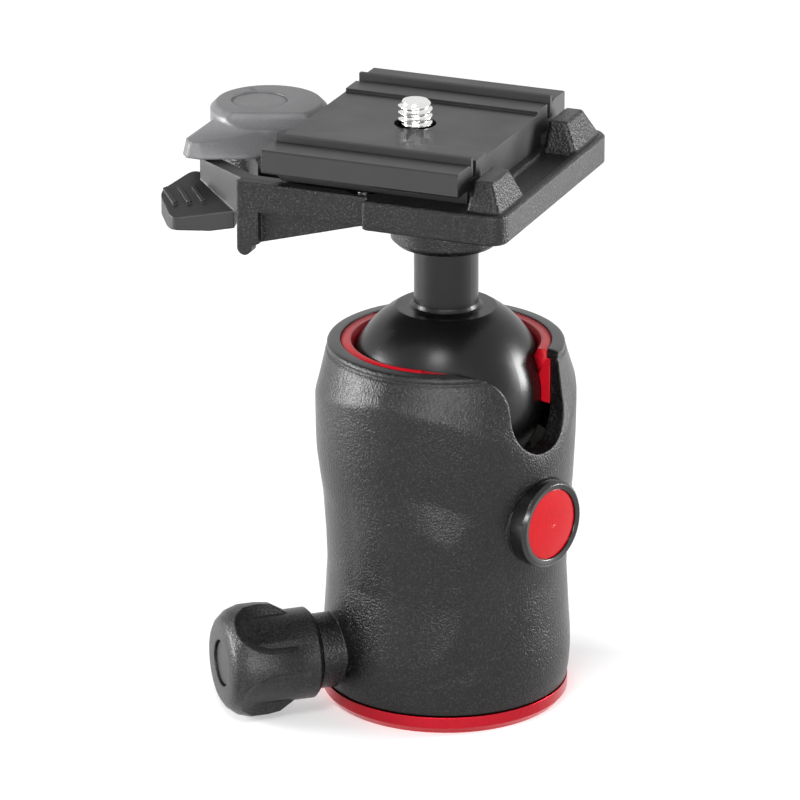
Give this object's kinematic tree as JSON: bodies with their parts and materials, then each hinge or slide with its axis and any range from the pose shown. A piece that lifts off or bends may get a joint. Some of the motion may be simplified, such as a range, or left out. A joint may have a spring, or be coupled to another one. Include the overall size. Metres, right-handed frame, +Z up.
{
  "type": "tripod ball head",
  "caption": "Compact ball head with a sculpted housing, side knobs, a drop notch for the stem, a panning base and a lever-locked quick-release platform with its camera plate.",
  "frame": {"origin": "centre of the tripod thread's mouth in the base's underside", "axes": "+Z up along the tripod thread's axis; +X out through the drop notch and the badge; +Y to the left seen from +X's far side, so the main lock knob is at azimuth 120 degrees and the pan knob at -120"},
  "size_m": [0.0768, 0.0896, 0.1157],
  "materials": {
    "red_anodised": "satin anodised",
    "black_coating": "textured semi-gloss coating",
    "black_anodised": "smooth satin black anodised",
    "grey_anodised": "satin dark grey anodised",
    "plain_aluminium": "machined",
    "steel": "bright zinc plated",
    "brass": "machined",
    "red_acetal": "smooth moulded",
    "white_acetal": "smooth moulded",
    "knob_rubber": "soft matt moulded",
    "black_plastic": "moulded, fine grain",
    "grey_plastic": "moulded, satin",
    "red_gloss": "domed, glossy",
    "strip_rubber": "matt"
  },
  "bodies": {
    "base": {"base_disc": "red_anodised", "thread_bush": "steel", "base_screws": "steel", "pan_spindle": "steel", "slip_washer": "white_acetal", "spindle_nut": "steel"},
    "housing": {"housing": "black_coating", "bearing_block": "plain_aluminium", "block_ring": "steel", "upper_liner": "red_acetal", "lower_seat": "white_acetal", "seat_lifter": "steel", "lock_bush": "brass", "pan_brake_pad": "white_acetal", "badge_bezel": "black_plastic", "badge_disc": "red_gloss"},
    "pan_knob": {"pan_lock_knob": "knob_rubber", "pan_knob_cap": "black_plastic", "pan_lock_screw": "steel"},
    "lock_knob": {"lock_knob": "knob_rubber", "lock_shaft": "steel"},
    "friction_dial": {"friction_dial": "black_plastic"},
    "ball_side": {"slip_liner": "white_acetal"},
    "ball": {"ball": "black_anodised"},
    "platform": {"platform_body": "black_coating", "platform_screw": "steel", "camera_plate": "grey_anodised", "grip_strips": "strip_rubber", "screw_clip": "steel", "lever_pivot": "steel", "lever_spring": "steel", "catch_pin": "steel", "catch_spring": "steel", "plunger_spring": "steel"},
    "cam_lever": {"cam_lever": "grey_plastic", "lever_cap": "grey_plastic"},
    "safety_catch": {"safety_catch": "black_plastic"},
    "trigger_plunger": {"trigger_plunger": "brass"},
    "camera_screw": {"camera_screw": "steel"}
  },
  "joints": [
    {"name": "pan", "type": "hinge", "parent": "base", "child": "housing", "pos_m": [0, 0, 0.005], "axis": [0, 0, 1], "continuous": true},
    {"name": "pan_lock", "type": "hinge", "parent": "housing", "child": "pan_knob", "pos_m": [-0.015, -0.02598, 0.0108], "axis": [-0.5, -0.866, 0], "range_deg": [0, 180]},
    {"name": "main_lock", "type": "hinge", "parent": "housing", "child": "lock_knob", "pos_m": [-0.015, 0.02598, 0.03155], "axis": [-0.5, 0.866, 0], "range_deg": [0, 180]},
    {"name": "friction", "type": "hinge", "parent": "lock_knob", "child": "friction_dial", "pos_m": [-0.0225, 0.03897, 0.03155], "axis": [-0.5, 0.866, 0], "range_deg": [0, 270]},
    {"name": "side_tilt", "type": "hinge", "parent": "housing", "child": "ball_side", "pos_m": [0, 0, 0.0607], "axis": [1, 0, 0], "range_deg": [-30, 30]},
    {"name": "drop_tilt", "type": "hinge", "parent": "ball_side", "child": "ball", "pos_m": [0, 0, 0.0607], "axis": [0, 1, 0], "range_deg": [-30, 90]},
    {"name": "swivel", "type": "hinge", "parent": "ball", "child": "platform", "pos_m": [0, 0, 0.09], "axis": [0, 0, 1], "continuous": true},
    {"name": "cam_lever", "type": "hinge", "parent": "platform", "child": "cam_lever", "pos_m": [-0.03898, -0.00813, 0.105], "axis": [0, 0, 1], "range_deg": [-70, 0]},
    {"name": "safety_catch", "type": "hinge", "parent": "platform", "child": "safety_catch", "pos_m": [-0.00025, -0.02261, 0.102], "axis": [0, 0, 1], "range_deg": [-6, 0], "stiffness_Nm_per_rad": 0.05},
    {"name": "trigger", "type": "slide", "parent": "platform", "child": "trigger_plunger", "axis": [0, 0, -1], "range_m": [0, 0.0012], "stiffness_N_per_m": 150, "deforming": ["plunger_spring"]},
    {"name": "camera_screw", "type": "hinge", "parent": "platform", "child": "camera_screw", "pos_m": [-0.00586, -0.00202, 0.11], "axis": [0, 0, 1], "continuous": true}
  ]
}
